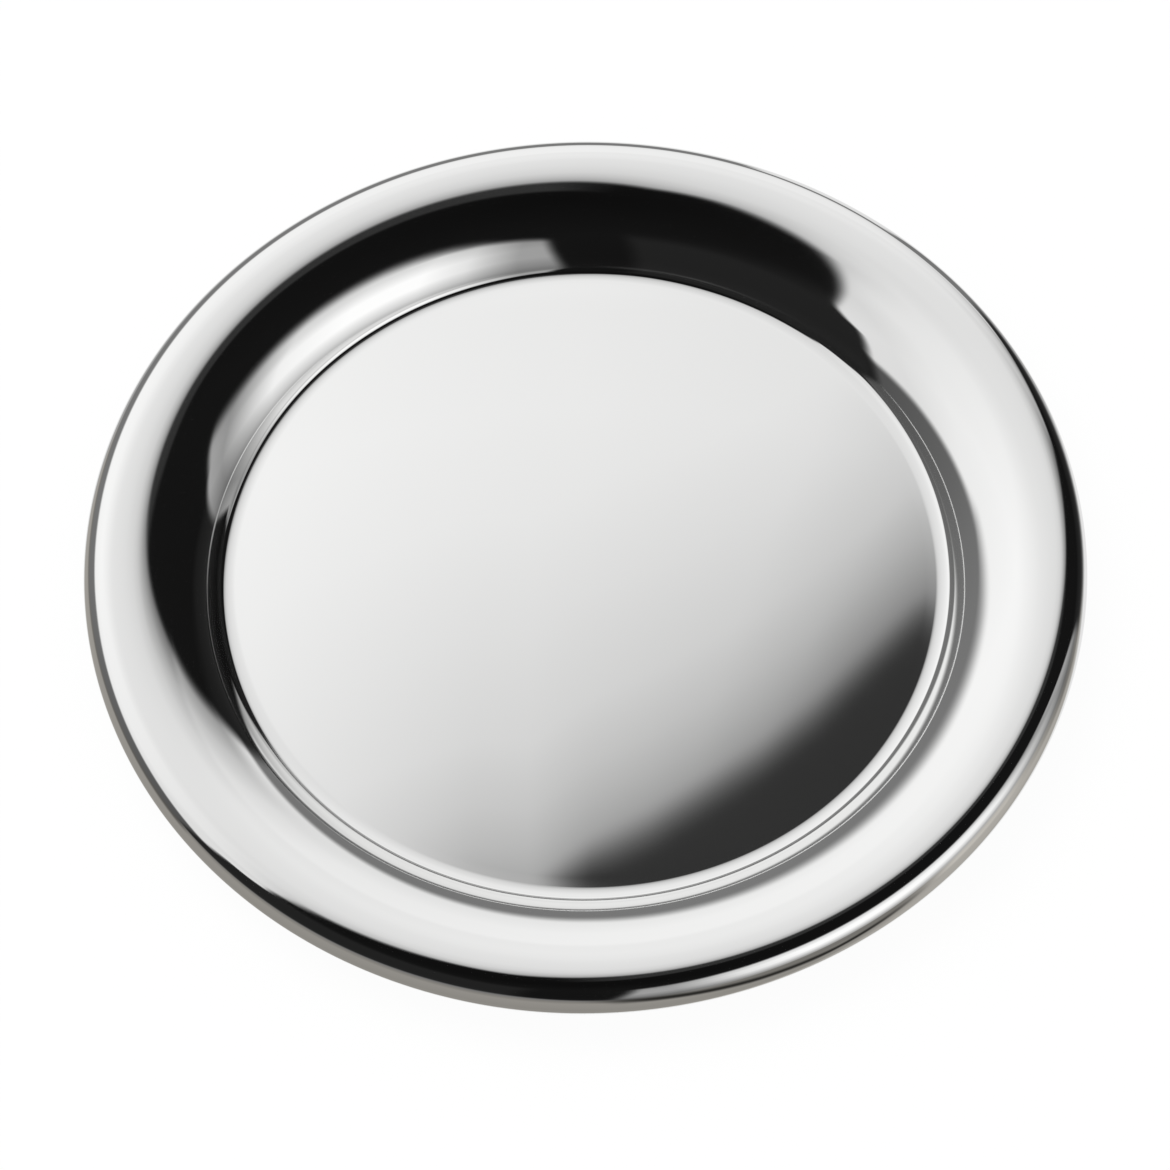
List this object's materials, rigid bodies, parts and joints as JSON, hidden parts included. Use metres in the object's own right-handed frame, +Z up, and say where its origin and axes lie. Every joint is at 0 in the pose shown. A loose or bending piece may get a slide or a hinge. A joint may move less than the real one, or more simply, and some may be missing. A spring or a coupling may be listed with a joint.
{
  "type": "wine bottle coaster",
  "caption": "Shallow round bottle coaster: a mirror-polished dish pressed from one sheet, with a gently domed floor, a narrow gutter, a steep wall, a wide flare and a rolled rim, on a glued felt base pad.",
  "frame": {"origin": "on the surface that the coaster stands on, under the centre of its base pad", "axes": "+Z up, along the axis that the dish is turned about; X and Y are alike"},
  "size_m": [0.14, 0.14, 0.0103],
  "materials": {
    "polished_steel": "mirror-polished stainless steel",
    "charcoal_felt": "dense wool felt"
  },
  "bodies": {
    "root": {"rolled_rim_dish": "polished_steel", "felt_base_pad": "charcoal_felt"}
  },
  "joints": []
}
